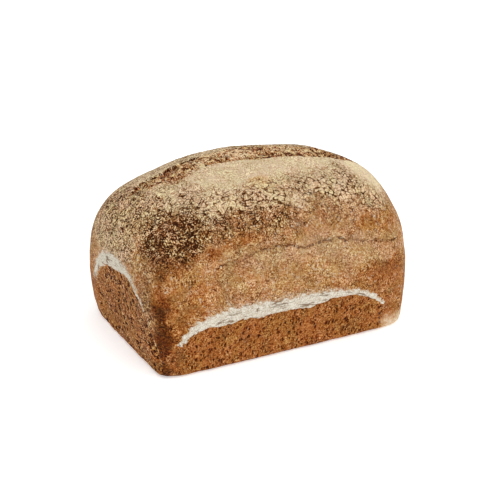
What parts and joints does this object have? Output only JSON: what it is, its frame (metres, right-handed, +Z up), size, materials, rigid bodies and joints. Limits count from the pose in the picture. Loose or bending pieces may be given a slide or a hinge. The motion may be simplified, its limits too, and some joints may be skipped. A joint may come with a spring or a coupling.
{
  "type": "whole wheat tin loaf",
  "caption": "Whole wheat loaf baked in a tin, with a flour-dusted crackled crown slashed along its length and an arch pressed into each side.",
  "frame": {"origin": "middle of the loaf's footprint, on the surface it stands on", "axes": "+Z up, +X along the loaf, -Y the long front side that the picture shows"},
  "size_m": [0.2198, 0.152, 0.1306],
  "materials": {
    "crust": "matt baked crust, orange brown and pitted below, flour-dusted and crackled above",
    "flour": "matt baked-on white flour"
  },
  "bodies": {
    "root": {"loaf": "crust"}
  },
  "joints": []
}
